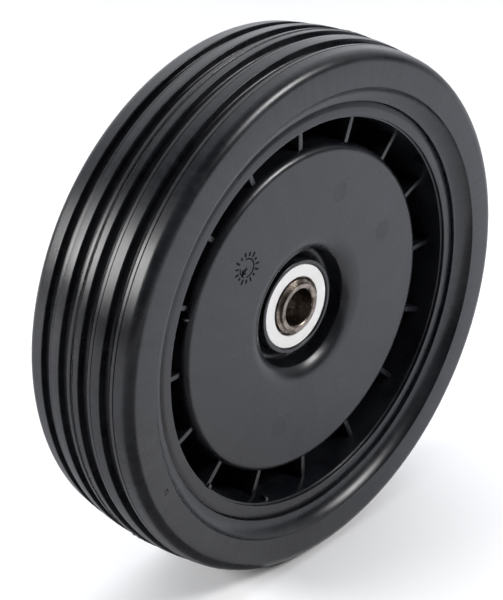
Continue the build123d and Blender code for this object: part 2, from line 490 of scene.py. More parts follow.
@dataclass(frozen=True)
class TurnedSteel:
    """Bearing steel, turned on a lathe and lightly oiled.

    The tool leaves fine rings that break up the shine, and the oil film warms it to a brown
    grey with darker smears. The real feed is too fine to show, so the rings are drawn coarser.
    """

    name: str = "turned_bearing_steel"
    colour: str = "#8c8279"
    oil: str = "#574e46"
    feed: float = 0.42
    feed_depth: float = 0.022
    wander_size: float = 1.6
    smear_size: float = 3.2
    smear_span: Point = (0.40, 0.68)
    roughness: Point = (0.27, 0.40)

    def material(self) -> bpy.types.Material:
        """Build the material.

        Returns:
            The finished material.
        """
        skin = Shading(self.name)
        travel = skin.add("ShaderNodeMath", PLUS, (skin.radius, skin.along))
        drift = skin.add("ShaderNodeTexNoise", None, {
            "Vector": skin.place, "Scale": scale_of(self.wander_size), "Detail": 2.0
        })
        wander = skin.add("ShaderNodeMath", TIMES, (drift, self.feed * MM))
        phase = skin.add("ShaderNodeMath", PLUS, (travel, wander))
        turns = skin.add("ShaderNodeMath", TIMES, (phase, FULL_TURN / (self.feed * MM)))
        rings = skin.add("ShaderNodeMath", SINE, (turns,))
        height = skin.add("ShaderNodeMapRange", EASED, (rings, *WAVE, *RISING))
        relief = skin.add("ShaderNodeBump", None, {
            "Height": height, "Distance": self.feed_depth * MM, "Strength": 1.0
        })
        film = skin.add("ShaderNodeTexNoise", None, {
            "Vector": skin.place, "Scale": scale_of(self.smear_size), "Detail": 3.0
        })
        smear = skin.add("ShaderNodeMapRange", EASED, (film, *self.smear_span, *RISING))
        dull = skin.add("ShaderNodeMapRange", EASED, (smear, *RISING, *self.roughness))
        colour = skin.add("ShaderNodeMix", COLOURS, {
            SHARE: smear, FIRST: linear(self.colour), SECOND: linear(self.oil)
        }, MIXED)
        return skin.finish(Base_Color=colour, Metallic=1.0, Roughness=dull, Normal=relief)


@dataclass(frozen=True)
class PolishedSteel:
    """Chrome steel, lapped and polished: mirror bright, with a dull trace of grease."""

    name: str = "polished_ball_steel"
    colour: str = "#c9c9c9"
    grease: str = "#8f8a7c"
    film_size: float = 1.5
    film_span: Point = (0.5, 0.7)
    roughness: Point = (0.08, 0.3)

    def material(self) -> bpy.types.Material:
        """Build the material.

        Returns:
            The finished material.
        """
        skin = Shading(self.name)
        traces = skin.add("ShaderNodeTexNoise", None, {
            "Vector": skin.place, "Scale": scale_of(self.film_size), "Detail": 2.0
        })
        film = skin.add("ShaderNodeMapRange", EASED, (traces, *self.film_span, *RISING))
        dull = skin.add("ShaderNodeMapRange", EASED, (film, *RISING, *self.roughness))
        colour = skin.add("ShaderNodeMix", COLOURS, {
            SHARE: film, FIRST: linear(self.colour), SECOND: linear(self.grease)
        }, MIXED)
        return skin.finish(Base_Color=colour, Metallic=1.0, Roughness=dull)


@dataclass(frozen=True)
class MouldedAcetal:
    """White acetal, injection moulded against a smooth mould.

    It is an even plain white with a soft shine and faint rings from the mould's turning.
    Grey lumps along both edges, where it meets the ring and the hub, are painted shade.
    """

    name: str = "moulded_white_acetal"
    colour: str = "#dcdbda"
    # The colour named dust is painted shade, laid in lumps along both edges next to the ring and
    # the hub.
    dust: str = "#b2b1b0"
    inner_edge: float = 12.3
    outer_edge: float = 17.3
    edge_shade_width: float = 0.5
    edge_shade_lump_size: float = 2.0
    edge_shade_span: Point = (0.4, 0.65)
    edge_shade_share: Point = (0.0, 0.8)
    # The mould's turning is too fine to show, so its rings are drawn coarser.
    ring_pitch: float = 0.8
    ring_depth: float = 0.004
    patch: float = 4.0
    ior: float = 1.48
    roughness: Point = (0.32, 0.42)

    def material(self) -> bpy.types.Material:
        """Build the material.

        Returns:
            The finished material.
        """
        skin = Shading(self.name)
        inner = (self.inner_edge * MM, (self.inner_edge + self.edge_shade_width) * MM)
        outer = ((self.outer_edge - self.edge_shade_width) * MM, self.outer_edge * MM)
        inside = skin.add("ShaderNodeMapRange", EASED, (skin.radius, *inner, *FALLING))
        outside = skin.add("ShaderNodeMapRange", EASED, (skin.radius, *outer, *RISING))
        edges = skin.add("ShaderNodeMath", PLUS, (inside, outside))
        shade_noise = skin.add("ShaderNodeTexNoise", None, {
            "Vector": skin.place, "Scale": scale_of(self.edge_shade_lump_size), "Detail": 3.0
        })
        lumps = skin.add("ShaderNodeMapRange", EASED, (shade_noise, *self.edge_shade_span, *self.edge_shade_share))
        # Painted shade: the mask named dust greys both edges where the shield meets the ring and
        # the hub.
        dust = skin.add("ShaderNodeMath", TIMES, (edges, lumps))
        turns = skin.add("ShaderNodeMath", TIMES, (skin.radius, FULL_TURN / (self.ring_pitch * MM)))
        wave = skin.add("ShaderNodeMath", SINE, (turns,))
        rings = skin.add("ShaderNodeMapRange", EASED, (wave, *WAVE, *RISING))
        relief = skin.add("ShaderNodeBump", None, {
            "Height": rings, "Distance": self.ring_depth * MM, "Strength": 1.0
        })
        patches = skin.add("ShaderNodeTexNoise", None, {
            "Vector": skin.place, "Scale": scale_of(self.patch), "Detail": 3.0
        })
        dull = skin.add("ShaderNodeMapRange", EASED, (patches, *CLOUD, *self.roughness))
        colour = skin.add("ShaderNodeMix", COLOURS, {
            SHARE: dust, FIRST: linear(self.colour), SECOND: linear(self.dust)
        }, MIXED)
        return skin.finish(Base_Color=colour, Roughness=dull, IOR=self.ior, Normal=relief)


@dataclass(frozen=True)
class NaturalNylon:
    """Unfilled nylon, injection moulded: creamy, slightly waxy and mottled by grease."""

    name: str = "moulded_natural_nylon"
    colour: str = "#d9d2bd"
    grease: str = "#a99f83"
    mottle_size: float = 2.5
    mottle_span: Point = (0.4, 0.65)
    ior: float = 1.53
    roughness: Point = (0.5, 0.3)

    def material(self) -> bpy.types.Material:
        """Build the material.

        Returns:
            The finished material.
        """
        skin = Shading(self.name)
        blots = skin.add("ShaderNodeTexNoise", None, {
            "Vector": skin.place, "Scale": scale_of(self.mottle_size), "Detail": 3.0
        })
        mottle = skin.add("ShaderNodeMapRange", EASED, (blots, *self.mottle_span, *RISING))
        dull = skin.add("ShaderNodeMapRange", EASED, (mottle, *RISING, *self.roughness))
        colour = skin.add("ShaderNodeMix", COLOURS, {
            SHARE: mottle, FIRST: linear(self.colour), SECOND: linear(self.grease)
        }, MIXED)
        return skin.finish(Base_Color=colour, Roughness=dull, IOR=self.ior)


# Shapes


def arc(centre: Point, radius: float, start: float, end: float, steps: int) -> list[Corner]:
    """List the points of an arc in an outline.

    Args:
        centre: Middle of the arc.
        radius: Its radius.
        start: Angle of its first point, in degrees from the radius towards +Y.
        end: Angle of its last point.
        steps: Number of spans between points.

    Returns:
        The points as sharp corners.
    """
    points = []
    for step in range(steps + 1):
        turn = math.radians(start + (end - start) * step / steps)
        out, along = radius * math.cos(turn), radius * math.sin(turn)
        points.append((centre[0] + out, centre[1] + along, 0.0))
    return points


def soften(corners: Sequence[Corner], span_degrees: float = 10.0) -> list[Point]:
    """Round the corners of a closed outline.

    Args:
        corners: Radius, distance along Y and rounding of each corner, in order.
        span_degrees: Turn of one straight span of a rounding.

    Returns:
        The outline's points.
    """
    points: list[Point] = []
    count = len(corners)
    for place, (radius, along, rounding) in enumerate(corners):
        corner = Vector((radius, along))
        if rounding <= 0:
            points.append((radius, along))
            continue
        before = Vector(corners[place - 1][:2]) - corner
        after = Vector(corners[(place + 1) % count][:2]) - corner
        opening = before.angle(after)
        back = min(rounding / math.tan(opening / 2), before.length, after.length)
        reach = back * math.tan(opening / 2)
        middle = corner + (before.normalized() + after.normalized()).normalized() * (
            reach / math.sin(opening / 2)
        )
        first = corner + before.normalized() * back - middle
        turn = first.angle_signed(corner + after.normalized() * back - middle)
        steps = max(2, round(math.degrees(abs(turn)) / span_degrees))
        for step in range(steps + 1):
            spoke = first.copy()
            spoke.rotate(Matrix.Rotation(-turn * step / steps, 2))
            points.append(tuple(middle + spoke))
    return points


def make_object(name: str, mesh: bpy.types.Mesh) -> bpy.types.Object:
    """Add a mesh to the scene, shaded smooth but for its creases.

    Args:
        name: Name of the piece.
        mesh: Its mesh.

    Returns:
        The new object.
    """
    mesh.polygons.foreach_set("use_smooth", [True] * len(mesh.polygons))
    mesh.set_sharp_from_angle(angle=CREASE)
    piece = bpy.data.objects.new(name, mesh)
    bpy.context.scene.collection.objects.link(piece)
    return piece


def sweep(
    name: str,
    outline: Sequence[Point],
    steps: int,
    shift: Optional[Callable[[float, int, Point], Point]] = None,
) -> bpy.types.Mesh:
    """Turn a closed outline about Y.

    Args:
        name: Name of the mesh.
        outline: Radius and distance along Y of each point, in millimetres.
        steps: Number of spans round the axle.
        shift: Moves a point of the outline, given its angle, its place in the outline and itself.

    Returns:
        The closed mesh, in metres.
    """
    count = len(outline)
    vertices = []
    for step in range(steps):
        turn = FULL_TURN * step / steps
        for place, point in enumerate(outline):
            radius, along = shift(turn, place, point) if shift else point
            vertices.append(
                (radius * math.cos(turn) * MM, along * MM, radius * math.sin(turn) * MM)
            )
    faces = []
    for step in range(steps):
        here = step * count
        there = (step + 1) % steps * count
        for place in range(count):
            after = (place + 1) % count
            faces.append((here + place, here + after, there + after, there + place))
    mesh = bpy.data.meshes.new(name)
    mesh.from_pydata(vertices, [], faces)
    turn_faces_outwards(mesh)
    return mesh


def turn_faces_outwards(mesh: bpy.types.Mesh) -> None:
    """Make every face of a closed mesh look outwards.

    Args:
        mesh: The mesh, which is changed.
    """
    work = bmesh.new()
    work.from_mesh(mesh)
    bmesh.ops.recalc_face_normals(work, faces=work.faces)
    work.to_mesh(mesh)
    work.free()


def plate(
    outline: Sequence[Point], thickness: float, bevel: float, turn: float
) -> bmesh.types.BMesh:
    """Make a flat plate that stands on the axle's plane, such as a rib.

    Args:
        outline: Radius and distance along Y of each corner, in millimetres.
        thickness: Thickness of the plate.
        bevel: Rounding of its edges.
        turn: Angle that it is turned to about the axle, in radians.

    Returns:
        The plate's mesh, in metres.
    """
    work = bmesh.new()
    ring = [work.verts.new((r * MM, y * MM, -thickness / 2 * MM)) for r, y in outline]
    face = work.faces.new(ring)
    pulled = bmesh.ops.extrude_face_region(work, geom=[face])["geom"]
    lifted = [part for part in pulled if isinstance(part, bmesh.types.BMVert)]
    bmesh.ops.translate(work, verts=lifted, vec=(0, 0, thickness * MM))
    bmesh.ops.recalc_face_normals(work, faces=work.faces)
    bmesh.ops.bevel(
        work, geom=work.edges[:], offset=bevel * MM, segments=2, profile=0.5, affect="EDGES"
    )
    bmesh.ops.rotate(work, verts=work.verts, matrix=Matrix.Rotation(-turn, 3, "Y"))
    return work


def gather(name: str, works: Sequence[bmesh.types.BMesh]) -> bpy.types.Mesh:
    """Join several meshes into one.

    Args:
        name: Name of the new mesh.
        works: Meshes to join, which are freed.

    Returns:
        The joined mesh.
    """
    whole = bmesh.new()
    for work in works:
        part = bpy.data.meshes.new("part")
        work.to_mesh(part)
        work.free()
        whole.from_mesh(part)
        bpy.data.meshes.remove(part)
    mesh = bpy.data.meshes.new(name)
    whole.to_mesh(mesh)
    whole.free()
    return mesh


def unite(name: str, body: bpy.types.Mesh, extra: bpy.types.Mesh) -> bpy.types.Mesh:
    """Fuse two closed meshes into one skin.

    Args:
        name: Name of the fused mesh.
        body: First mesh.
        extra: Second mesh, of parts that stand in the first one.

    Returns:
        The fused mesh.
    """
    base = bpy.data.objects.new("base", body)
    tool = bpy.data.objects.new("tool", extra)
    for piece in (base, tool):
        bpy.context.scene.collection.objects.link(piece)
    union = base.modifiers.new("union", "BOOLEAN")
    union.operation = "UNION"
    union.solver = "EXACT"
    union.object = tool
    bpy.context.view_layer.update()
    seen = base.evaluated_get(bpy.context.evaluated_depsgraph_get())
    fused = bpy.data.meshes.new_from_object(seen)
    fused.name = name
    for piece in (base, tool):
        bpy.data.objects.remove(piece)
    return fused


def dress(
    piece: bpy.types.Object, material: bpy.types.Material, body: Body, node: str = ""
) -> None:
    """Give a piece its material, hang it on the body that it rides on and hide the solid it stands
    for.

    Args:
        piece: The piece.
        material: Its material.
        body: Body that it rides on.
        node: Solid that it stands for, if any.
    """
    piece.data.materials.clear()
    piece.data.materials.append(material)
    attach(piece, body.value)
    if node:
        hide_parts(node)
    LOG.info("%s: %d faces, %s", piece.name, len(piece.data.polygons), material.name)


# Sub-assemblies


@dataclass
class Tyre:
    """Solid tyre with five ribs, four grooves and the flash of its mould's parting line."""

    radius: float = 107.3
    face: float = 26.7
    crown: float = 2.0
    shoulder_edge: float = 22.3
    shoulder_round: float = 4.6
    bead_lip_radius: float = 91.4
    bead_radius: float = 85.0
    cove_middle: Point = (83.70, 30.43)
    cove_round: float = 8.60
    cove_ends: Point = (80.0, 30.5)
    well_radius: float = 82.4
    well_end: float = 17.8
    groove_middles: tuple[float, ...] = (-15.6, -5.2, 5.2, 15.6)
    groove_width: float = 4.3
    groove_depth: float = 3.4
    groove_round: float = 1.5
    rib_edge_round: float = 0.35
    bead_edge_round: float = 0.12
    bead_lip_round: float = 0.2
    step_width: float = 2.0
    step_depth: float = 0.3
    line_width: float = 0.45
    line_depth: float = 0.6
    line_round: float = 0.08
    seam_width: float = 0.9
    seam_depth: float = 0.8
    seam_place: float = 0.45
    seam_round: float = 0.1
    flash_height: float = 0.45
    flash_width: float = 0.55
    flash_root: float = 0.3
    flash_lift: float = 0.35
    flash_wander: float = 0.35
    wander_pace: float = 4.0
    tear_paces: Point = (90.0, 210.0)
    fine_tear: float = 0.6
    tear_lean: float = 0.25
    tear_floor: float = -0.1
    least_ragged: float = 0.25
    torn_angle: float = math.radians(205)
    torn_spread: float = math.radians(50)
    spans: int = 280
    flash_spans: int = 1440

    def tread_radius(self, along: float) -> float:
        """Give the tread's radius at a distance from the centre plane."""
        return self.radius - self.crown * (along / self.shoulder_edge) ** 2

    def groove(self, middle: float) -> list[Corner]:
        """List the corners of one groove, with the fine step along its front edge.

        Args:
            middle: Distance of the groove's middle from the centre plane.

        Returns:
            The corners from front to back.
        """
        front = middle - self.groove_width / 2
        back = middle + self.groove_width / 2
        floor = self.tread_radius(middle) - self.groove_depth
        start = front - self.step_width
        low = self.tread_radius(front) - self.step_depth
        return [
            (self.tread_radius(start), start, self.line_round),
            (low - self.line_depth, start + self.line_width / 2, 0.0),
            (low, start + self.line_width, self.line_round),
            (low, front, self.rib_edge_round),
            (floor, front, self.groove_round),
            (floor, back, self.groove_round),
            (self.tread_radius(back), back, self.rib_edge_round),
        ]

    def seam(self) -> list[Corner]:
        """List the corners of the fine slit beside the parting line.

        Returns:
            The corners from front to back.
        """
        top = self.tread_radius(0)
        half = self.seam_width / 2
        return [
            (top, self.seam_place - half, self.seam_round),
            (top - self.seam_depth, self.seam_place, self.seam_round),
            (top, self.seam_place + half, self.seam_round),
        ]

    def side(self) -> list[Corner]:
        """List the corners of the front side.

        Returns:
            The corners from the well to the tread's edge.
        """
        shoulder_radius = self.tread_radius(self.shoulder_edge)
        middle_along = self.face - self.shoulder_round
        rise = math.asin((self.shoulder_edge - middle_along) / self.shoulder_round)
        middle_radius = shoulder_radius - self.shoulder_round * math.cos(rise)
        shoulder_middle = (middle_radius, -middle_along)
        shoulder = arc(shoulder_middle, self.shoulder_round, -90, -math.degrees(rise), 14)
        cove_middle = (self.cove_middle[0], -self.cove_middle[1])
        cove = arc(cove_middle, self.cove_round, *self.cove_ends, 12)
        return [
            (self.well_radius, -self.well_end, 0.0),
            (self.bead_radius, -self.well_end, 0.0),
            (self.bead_radius, cove[0][1], self.bead_edge_round),
            *cove,
            (self.bead_lip_radius, -self.face, self.bead_lip_round),
            *shoulder,
        ]

    def outline(self) -> list[Point]:
        """Draw the closed section.

        Returns:
            The points from the front bead over the tread to the rear bead.
        """
        front = self.side()
        rear = [(radius, -along, rounding) for radius, along, rounding in reversed(front)]
        before: list[Corner] = []
        behind: list[Corner] = []
        for middle in self.groove_middles:
            (before if middle < 0 else behind).extend(self.groove(middle))
        return soften(front + before + self.seam() + behind + rear)

    def ragged(self, turn: float) -> float:
        """Give how ragged the flash is at an angle, from nought to one."""
        away = math.remainder(turn - self.torn_angle, FULL_TURN)
        return math.exp(-((away / self.torn_spread) ** 2))

    def flash_shift(self, turn: float, place: int, point: Point) -> Point:
        """Make the flash's edge wander and tear along its way round.

        Args:
            turn: Angle of the point, in radians.
            place: Place of the point in the section: the first two are its foot.
            point: Radius and distance along Y.

        Returns:
            The moved point.
        """
        spot = Vector((math.cos(turn), math.sin(turn), 0.0))
        wander = noise.noise(spot * self.wander_pace) * self.flash_wander
        coarse, fine = (noise.noise(spot * pace) for pace in self.tear_paces)
        tear = coarse + self.fine_tear * fine
        rough = self.least_ragged + (1 - self.least_ragged) * self.ragged(turn)
        if place < 2:
            return point[0], point[1] + wander
        lift = self.flash_height * (self.flash_lift + rough * tear)
        lean = self.tear_lean * rough * tear
        return point[0] + max(lift, self.tear_floor), point[1] + wander + lean

    def build(self) -> None:
        """Build and dress the tyre and its flash."""
        tyre = make_object("ribbed_tyre", sweep("ribbed_tyre", self.outline(), self.spans))
        dress(tyre, MouldedRubber().material(), Body.WHEEL, "tyre")
        foot = self.radius - self.flash_root
        half = self.flash_width / 2
        crest = half / 2
        section = [(foot, -half), (foot, half), (self.radius, crest), (self.radius, -crest)]
        mesh = sweep("parting_flash", section, self.flash_spans, self.flash_shift)
        dress(make_object("parting_flash", mesh), TornRubber().material(), Body.WHEEL)


@dataclass
class DateDial:
    """Mould maker's date dial on the disc: a worn ring, plain strokes round it and a pointer."""

    centre: Point = (-33.2, 31.8)
    face: float = -16.6
    proud: float = 0.12
    ring_radius: float = 3.7
    ring_width: float = 0.6
    ring_gaps: tuple[int, ...] = (4, 5, 6, 10)
    stroke_count: int = 15
    stroke_start: float = 4.8
    stroke_lengths: tuple[float, ...] = (1.5, 0.8, 1.7, 1.2)
    stroke_width: float = 0.85
    stroke_bevel: float = 0.08
    pointer_length: float = 3.2
    pointer_width: float = 1.2
    pointer_tail: float = 0.4
    barb_lean: float = 0.5
    barb_reach: float = 0.65
    barb_share: float = 0.7
    pointer_turn: float = math.radians(215)

    def stroke(self, start: Point, end: Point, width: float) -> bmesh.types.BMesh:
        """Make one raised stroke on the disc.

        Args:
            start: X and Z of its first end, from the dial's centre.
            end: X and Z of its last end.
            width: Its width.

        Returns:
            The stroke's mesh, in metres.
        """
        run = Vector(end) - Vector(start)
        middle = (Vector(start) + Vector(end)) / 2 + Vector(self.centre)
        work = bmesh.new()
        bmesh.ops.create_cube(work, size=1.0)
        scale = Vector((run.length + width * 0.5, self.proud * 2, width)) * MM
        bmesh.ops.scale(work, verts=work.verts, vec=scale)
        turn = Matrix.Rotation(-math.atan2(run.y, run.x), 3, "Y")
        bmesh.ops.rotate(work, verts=work.verts, matrix=turn)
        place = Vector((middle.x, self.face, middle.y)) * MM
        bmesh.ops.translate(work, verts=work.verts, vec=place)
        bevel = self.stroke_bevel * MM
        bmesh.ops.bevel(work, geom=work.edges[:], offset=bevel, segments=1, affect="EDGES")
        return work

    def spoke(self, turn: float, radius: float) -> Point:
        """Give the point at an angle and radius from the dial's centre."""
        return radius * math.cos(turn), radius * math.sin(turn)

    def build(self) -> None:
        """Build and dress the dial."""
        works = []
        for place in range(self.stroke_count):
            turn = FULL_TURN * place / self.stroke_count
            end = self.stroke_start + self.stroke_lengths[place % len(self.stroke_lengths)]
            near = self.spoke(turn, self.stroke_start)
            works.append(self.stroke(near, self.spoke(turn, end), self.stroke_width))
            if place in self.ring_gaps:
                continue
            start = self.spoke(turn, self.ring_radius)
            stop = self.spoke(turn + FULL_TURN / self.stroke_count, self.ring_radius)
            works.append(self.stroke(start, stop, self.ring_width))
        tip = self.spoke(self.pointer_turn, self.pointer_length)
        tail = self.spoke(self.pointer_turn, self.pointer_tail)
        works.append(self.stroke(tail, tip, self.pointer_width))
        for lean in (-self.barb_lean, self.barb_lean):
            barb = self.spoke(self.pointer_turn + lean, self.pointer_length * self.barb_reach)
            works.append(self.stroke(tip, barb, self.pointer_width * self.barb_share))
        piece = make_object("date_dial", gather("date_dial", works))
        # The strokes' dark finish is painted shade of the cut dial.
        dress(piece, EngravedMark().material(), Body.WHEEL)


@dataclass
class Rim:
    """One-piece moulded rim: barrel, web, dished disc, hub and ribs."""

    lip_inner_radius: float = 79.0
    lip_radius: float = 84.9
    lip_face: float = 21.5
    rebate_depth: float = 1.3
    rebate_width: float = 0.7
    rebate_round: float = 0.2
    lip_crest: float = 80.2
    lip_crest_round: float = 1.0
    lip_turn: Point = (82.4, 21.4)
    lip_turn_round: float = 4.0
    lip_fall: float = 0.8
    lip_end_round: float = 0.4
    rear_lip_rounds: Point = (1.4, 0.6)
    edge_round: float = 0.3
    flange_back: float = 17.9
    well_radius: float = 82.3
    root_radius: float = 77.5
    web_front: float = 2.0
    web_back: float = 6.0
    root_round: float = 1.5
    disc_radius: float = 67.0
    disc_face: float = 16.6
    disc_wall: float = 2.6
    disc_round: float = 3.2
    skirt_round: float = 0.4
    funnel_radius: float = 32.05
    funnel_drop: float = 3.5
    back_funnel_drop: float = 5.4
    back_funnel_end: float = 26.6
    hub_root: float = -1.6
    moat_radius: float = 24.4
    moat_floor: float = -4.9
    moat_round: float = 2.4
    moat_edge_round: float = 0.6
    hub_lip_radius: float = 19.35
    hub_radius: float = 21.55
    hub_front: float = -11.2
    hub_back: float = 20.8
    hub_edge_round: float = 0.5
    hub_root_rounds: Point = (1.5, 2.0)
    seat_radius: float = 17.55
    seat_floors: Point = (1.4, 8.2)
    land_radius: float = 15.35
    front_rib_count: int = 16
    front_rib_face: float = 13.8
    front_rib_thickness: float = 2.2
    back_rib_count: int = 8
    back_rib_thickness: float = 3.0
    back_rib_hub_end: float = 18.8
    back_rib_rim_end: float = 15.5
    rib_bevel: float = 0.3
    sliver_bevel: float = 0.15
    slivers: tuple[tuple[float, float, tuple[Point, ...]], ...] = (
        (160.9, 0.9, ((66.6, -15.6), (68.4, -15.2), (69.0, -14.2), (67.6, -13.4), (66.6, -13.9))),
        (249.1, 1.6, ((78.6, -19.5), (76.8, -19.0), (76.3, -17.6), (77.0, -16.4), (78.6, -16.8))),
        (218.5, 1.8, ((78.8, -21.6), (77.2, -21.3), (76.9, -20.4), (78.8, -20.2))),
    )
    spans: int = 288
    dial: DateDial = field(default_factory=DateDial)

    def funnel(self, depth: float, inner_end: float, drop: float, steps: int) -> list[Corner]:
        """List a curve of the funnel from the flat disc down to the hub.

        Args:
            depth: Depth of the curve's start behind the disc's face.
            inner_end: Radius from the axle where it ends.
            drop: How far it falls on the way.
            steps: Number of spans.

        Returns:
            The points from the disc inwards.
        """
        run = self.funnel_radius - inner_end
        bend = (run**2 + drop**2) / (2 * drop)
        middle = (self.funnel_radius, bend + depth - self.disc_face)
        return arc(middle, bend, -90, -90 - math.degrees(math.asin(run / bend)), steps)

    def outline(self) -> list[Point]:
        """Draw the closed section without its ribs.

        Returns:
            The points, starting at the front lip and going inwards.
        """
        lip, rebate = self.lip_inner_radius, self.rebate_depth
        front_funnel = self.funnel(0.0, self.moat_radius, self.funnel_drop, 18)
        back_funnel = self.funnel(self.disc_wall, self.back_funnel_end, self.back_funnel_drop, 14)
        skirt = self.disc_radius - self.disc_wall
        front_face = -self.lip_face
        corners = [
            (self.lip_crest, front_face, self.lip_crest_round),
            (lip, front_face, self.edge_round),
            (lip, front_face + rebate, self.rebate_round),
            (lip - self.rebate_width, front_face + rebate, self.edge_round),
            (self.root_radius, self.web_front, self.root_round),
            (self.disc_radius, self.web_front, self.root_round),
            (self.disc_radius, -self.disc_face, self.disc_round),
            *front_funnel[:-1],
            (*front_funnel[-1][:2], self.moat_edge_round),
            (self.moat_radius, self.moat_floor, self.moat_round),
            (self.hub_lip_radius, self.moat_floor, self.moat_round),
            (self.hub_lip_radius, self.hub_front, self.hub_edge_round),
            (self.seat_radius, self.hub_front, self.hub_edge_round),
            (self.seat_radius, self.seat_floors[0], 0.0),
            (self.land_radius, self.seat_floors[0], self.edge_round),
            (self.land_radius, self.seat_floors[1], self.edge_round),
            (self.seat_radius, self.seat_floors[1], 0.0),
            (self.seat_radius, self.hub_back, self.hub_edge_round),
            (self.hub_radius, self.hub_back, self.hub_edge_round),
            (self.hub_radius, self.hub_root, self.hub_root_rounds[0]),
            (self.back_funnel_end, self.hub_root, self.hub_root_rounds[1]),
            *reversed(back_funnel),
            (skirt, self.disc_wall - self.disc_face, self.disc_round - self.disc_wall),
            (skirt, self.web_back, self.skirt_round),
            (self.root_radius, self.web_back, self.root_round),
            (lip, self.lip_face, self.rear_lip_rounds[0]),
            (self.lip_radius, self.lip_face, self.rear_lip_rounds[1]),
            (self.lip_radius, self.flange_back, 0.0),
            (self.well_radius, self.flange_back, 0.0),
            (self.well_radius, -self.flange_back, 0.0),
            (self.lip_radius, -self.flange_back, 0.0),
            (self.lip_radius, front_face + self.lip_fall, self.lip_end_round),
            (self.lip_turn[0], -self.lip_turn[1], self.lip_turn_round),
        ]
        return soften(corners, span_degrees=7.5)

    def front_rib(self) -> list[Point]:
        """Draw one rib of the front channel, from the disc's edge to the barrel.

        Returns:
            Its corners.
        """
        skirt = self.disc_radius - self.disc_wall / 2
        wall = (self.lip_inner_radius + self.well_radius) / 2
        web = (3 * self.web_front + self.web_back) / 4
        top = -self.front_rib_face
        return [(skirt, top), (wall, top), (wall, web), (skirt, web)]

    def back_rib(self) -> list[Point]:
        """Draw one rib of the open back, from the hub across the disc to the barrel.

        Returns:
            Its corners.
        """
        skirt = self.disc_radius - self.disc_wall / 2
        wall = (self.lip_inner_radius + self.well_radius) / 2
        hub = (self.hub_radius + self.seat_radius) / 2
        disc = self.disc_wall / 2 - self.disc_face
        web = (self.web_front + 3 * self.web_back) / 4
        root = (self.moat_radius + self.back_funnel_end) / 2
        floor = (self.moat_floor + self.hub_root) / 2
        bend = self.funnel(self.disc_wall / 2, root, self.back_funnel_drop, 6)
        return [
            (hub, self.back_rib_hub_end),
            (wall, self.back_rib_rim_end),
            (wall, web),
            (skirt, web),
            (skirt, self.disc_round - self.disc_face),
            (self.disc_radius - self.disc_round, disc),
            *[(radius, along) for radius, along, _ in bend],
            (root, floor),
            (hub, floor),
        ]

    def build(self) -> None:
        """Build and dress the rim and the dial on its disc."""
        ribs = []
        for edge, thickness, count in (
            (self.front_rib(), self.front_rib_thickness, self.front_rib_count),
            (self.back_rib(), self.back_rib_thickness, self.back_rib_count),
        ):
            for place in range(count):
                ribs.append(plate(edge, thickness, self.rib_bevel, FULL_TURN * place / count))
        for degrees, thickness, edge in self.slivers:
            ribs.append(plate(edge, thickness, self.sliver_bevel, math.radians(degrees)))
        body = sweep("rim_body", self.outline(), self.spans)
        piece = make_object("moulded_rim", unite("moulded_rim", body, gather("rim_ribs", ribs)))
        dress(piece, MouldedPolypropylene().material(), Body.WHEEL, "rim")
        self.dial.build()


